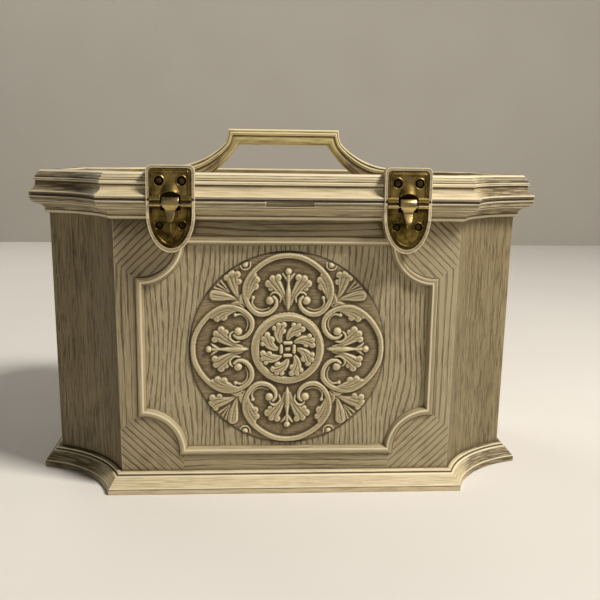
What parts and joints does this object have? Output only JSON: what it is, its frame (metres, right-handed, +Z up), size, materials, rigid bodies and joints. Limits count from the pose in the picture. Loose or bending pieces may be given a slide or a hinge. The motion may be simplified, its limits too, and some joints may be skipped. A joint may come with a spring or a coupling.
{
  "type": "sewing box",
  "caption": "Moulded sewing box with scooped corners, a carved-look front medallion, a hinged recessed lid with a fold-down bail handle, snap latches and a lift-out tray.",
  "frame": {"origin": "middle of the footprint, on the table", "axes": "+X to the user's right along the front, -Y towards the user, +Z up"},
  "size_m": [0.356, 0.2456, 0.2467],
  "materials": {
    "case_plastic": "cream moulded plastic with wood grain, wiped with an olive-brown glaze",
    "lid_plastic": "cream moulded plastic, glaze left in the moulding's hollows",
    "handle_plastic": "cream moulded plastic, lightly glazed",
    "tray_plastic": "plain ivory moulded plastic",
    "aged_brass": "pressed sheet brass, darkened by age",
    "dark_rivet": "tarnished brass rivet head",
    "steel": "plain steel wire and screws"
  },
  "bodies": {
    "case": {"case_shell": "case_plastic", "hinge_leaf_lower_left": "aged_brass", "hinge_leaf_lower_right": "aged_brass", "hinge_pin_left": "aged_brass", "hinge_pin_right": "aged_brass", "hinge_screw_lower_inner_left": "aged_brass", "hinge_screw_lower_inner_right": "aged_brass", "hinge_screw_lower_outer_left": "aged_brass", "hinge_screw_lower_outer_right": "aged_brass", "latch_pin_left": "steel", "latch_pin_right": "steel", "latch_plate_left": "aged_brass", "latch_plate_right": "aged_brass", "latch_spring_left": "steel", "latch_spring_right": "steel", "plate_rivet_inner_left": "dark_rivet", "plate_rivet_inner_right": "dark_rivet", "plate_rivet_outer_left": "dark_rivet", "plate_rivet_outer_right": "dark_rivet"},
    "lid": {"bracket_screw_inner_left": "steel", "bracket_screw_inner_right": "steel", "bracket_screw_outer_left": "steel", "bracket_screw_outer_right": "steel", "handle_bracket_left": "handle_plastic", "handle_bracket_right": "handle_plastic", "handle_pin_left": "steel", "handle_pin_right": "steel", "hinge_leaf_upper_left": "aged_brass", "hinge_leaf_upper_right": "aged_brass", "hinge_screw_upper_inner_left": "aged_brass", "hinge_screw_upper_inner_right": "aged_brass", "hinge_screw_upper_outer_left": "aged_brass", "hinge_screw_upper_outer_right": "aged_brass", "keeper_rivet_inner_left": "dark_rivet", "keeper_rivet_inner_right": "dark_rivet", "keeper_rivet_outer_left": "dark_rivet", "keeper_rivet_outer_right": "dark_rivet", "latch_keeper_left": "aged_brass", "latch_keeper_right": "aged_brass", "lid_shell": "lid_plastic"},
    "handle": {"handle": "handle_plastic"},
    "latch_lever_left": {"latch_lever_left": "aged_brass"},
    "latch_lever_right": {"latch_lever_right": "aged_brass"},
    "tray": {"spool_peg_1": "tray_plastic", "spool_peg_2": "tray_plastic", "spool_peg_3": "tray_plastic", "spool_peg_4": "tray_plastic", "spool_peg_5": "tray_plastic", "spool_peg_6": "tray_plastic", "spool_peg_7": "tray_plastic", "spool_peg_8": "tray_plastic", "spool_peg_9": "tray_plastic", "tray": "tray_plastic", "tray_divider_back": "tray_plastic", "tray_divider_end": "tray_plastic", "tray_divider_left": "tray_plastic", "tray_divider_right": "tray_plastic"}
  },
  "joints": [
    {"name": "lid_hinge", "type": "hinge", "parent": "case", "child": "lid", "pos_m": [0, 0.1193, 0.19865], "axis": [-1, 0, 0], "range_deg": [0, 100]},
    {"name": "handle_fold", "type": "hinge", "parent": "lid", "child": "handle", "pos_m": [0, 0, 0.2141], "axis": [1, 0, 0], "range_deg": [-88, 88]},
    {"name": "latch_left_release", "type": "hinge", "parent": "case", "child": "latch_lever_left", "pos_m": [-0.0758, -0.1169, 0.1955], "axis": [1, 0, 0], "range_deg": [0, 20], "stiffness_Nm_per_rad": 0.05, "springref_deg": -17.19},
    {"name": "latch_right_release", "type": "hinge", "parent": "case", "child": "latch_lever_right", "pos_m": [0.0758, -0.1169, 0.1955], "axis": [1, 0, 0], "range_deg": [0, 20], "stiffness_Nm_per_rad": 0.05, "springref_deg": -17.19},
    {"name": "tray_lift", "type": "slide", "parent": "case", "child": "tray", "axis": [0, 0, 1], "range_m": [0, 0.012]}
  ]
}
